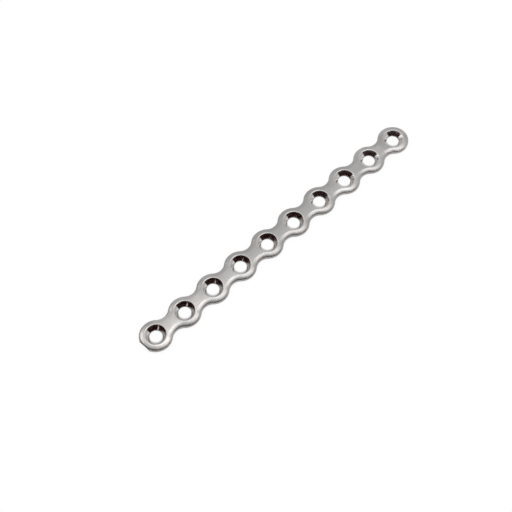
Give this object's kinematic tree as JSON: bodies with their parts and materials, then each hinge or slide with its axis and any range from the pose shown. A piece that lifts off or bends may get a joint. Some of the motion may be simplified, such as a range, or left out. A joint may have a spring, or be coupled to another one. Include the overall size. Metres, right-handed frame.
{
  "type": "orthopedic bone plate",
  "caption": "Straight steel bone plate with scalloped edges and a row of countersunk round screw holes, one end rounded and the other cut off square.",
  "frame": {"origin": "on the underside, in the middle of the row of holes", "axes": "+X along the row of holes, away from the cut end; +Z out of the countersinks, away from the bone; +Y across the plate"},
  "size_m": [0.0788, 0.007, 0.0012],
  "materials": {
    "polished_steel": "satin polished"
  },
  "bodies": {
    "root": {"bone_plate": "polished_steel"}
  },
  "joints": []
}
